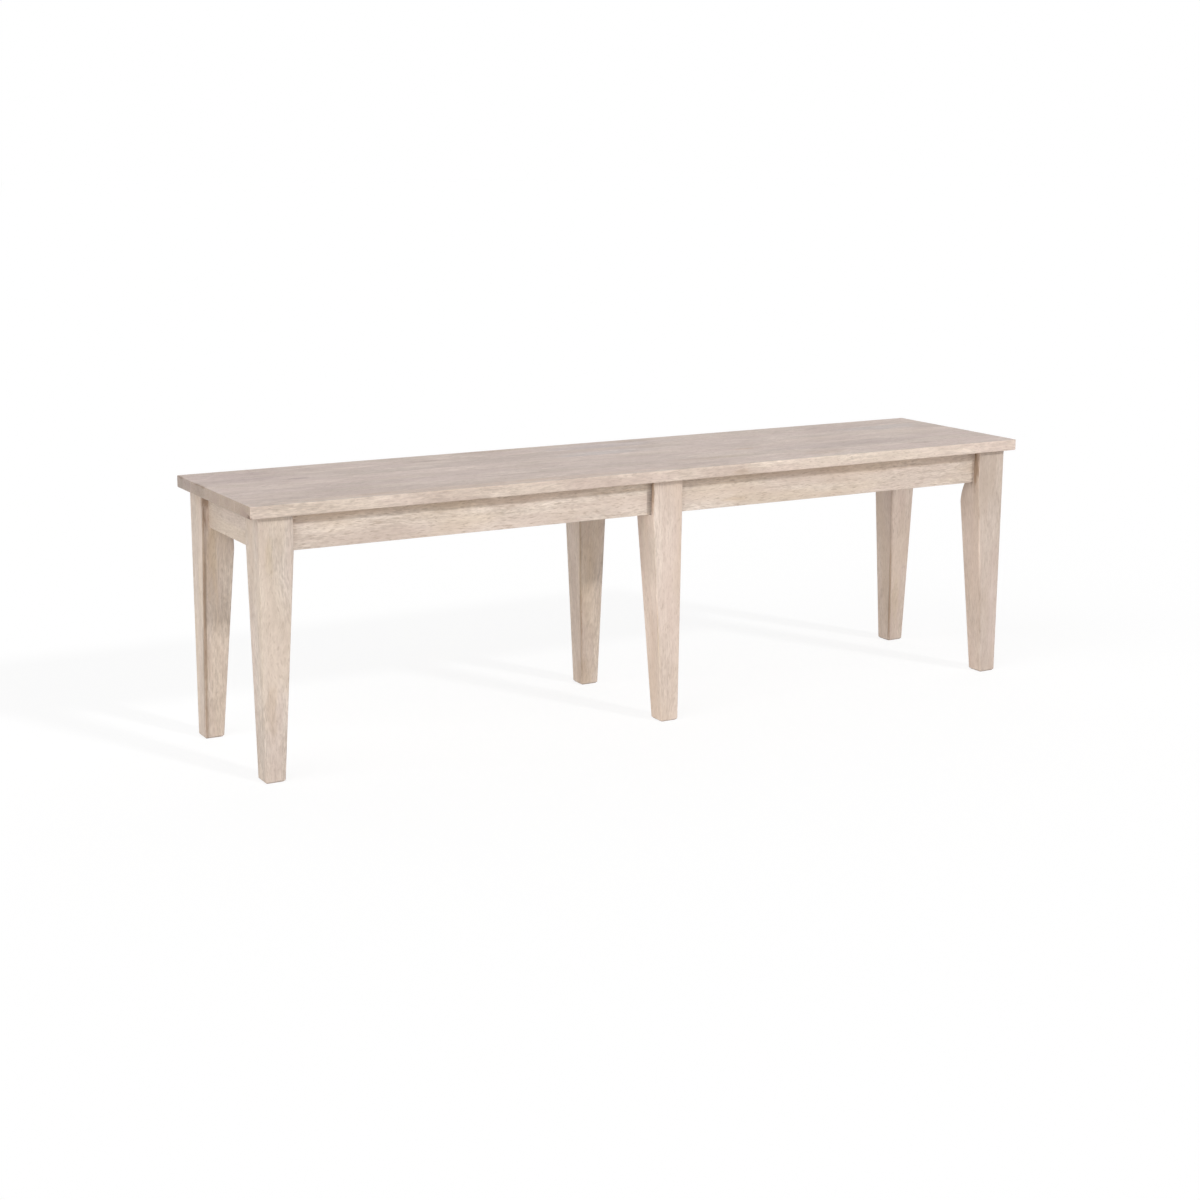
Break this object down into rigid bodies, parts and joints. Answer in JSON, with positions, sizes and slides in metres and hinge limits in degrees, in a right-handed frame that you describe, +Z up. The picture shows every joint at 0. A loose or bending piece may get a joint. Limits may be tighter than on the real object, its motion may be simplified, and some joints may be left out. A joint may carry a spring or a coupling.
{
  "type": "bench",
  "caption": "Backless dining bench: flat plank seat on square legs that taper on their inner faces, with set-back aprons between them.",
  "frame": {"origin": "on the floor, under the middle of the seat", "axes": "+X along the bench, -Y towards its front, +Z up"},
  "size_m": [1.524, 0.345, 0.45],
  "materials": {
    "seat_wood": "limed open grain, matt",
    "frame_wood": "limed open grain, matt",
    "inner_wood": "bare planed wood",
    "dowel_wood": "bare turned wood",
    "zinc_steel": "bright zinc plated",
    "screw_steel": "zinc plated, worn"
  },
  "bodies": {
    "root": {"back_apron": "frame_wood", "back_left_corner_block": "inner_wood", "back_left_leg": "frame_wood", "back_middle_leg": "frame_wood", "back_right_corner_block": "inner_wood", "back_right_leg": "frame_wood", "batten_dowels": "dowel_wood", "batten_screws": "screw_steel", "centre_rail": "inner_wood", "centre_rail_dowels": "dowel_wood", "corner_block_screws": "screw_steel", "front_apron": "frame_wood", "front_left_corner_block": "inner_wood", "front_left_leg": "frame_wood", "front_middle_leg": "frame_wood", "front_right_corner_block": "inner_wood", "front_right_leg": "frame_wood", "hanger_bolt_nuts": "zinc_steel", "hanger_bolt_washers": "zinc_steel", "hanger_bolts": "zinc_steel", "left_apron": "frame_wood", "left_seat_batten": "inner_wood", "middle_leg_bolts": "zinc_steel", "middle_leg_nuts": "zinc_steel", "middle_leg_washers": "zinc_steel", "right_apron": "frame_wood", "right_seat_batten": "inner_wood", "seat_board_1": "seat_wood", "seat_board_2": "seat_wood", "seat_board_3": "seat_wood", "seat_board_4": "seat_wood", "seat_board_5": "seat_wood", "seat_screws": "screw_steel"}
  },
  "joints": []
}
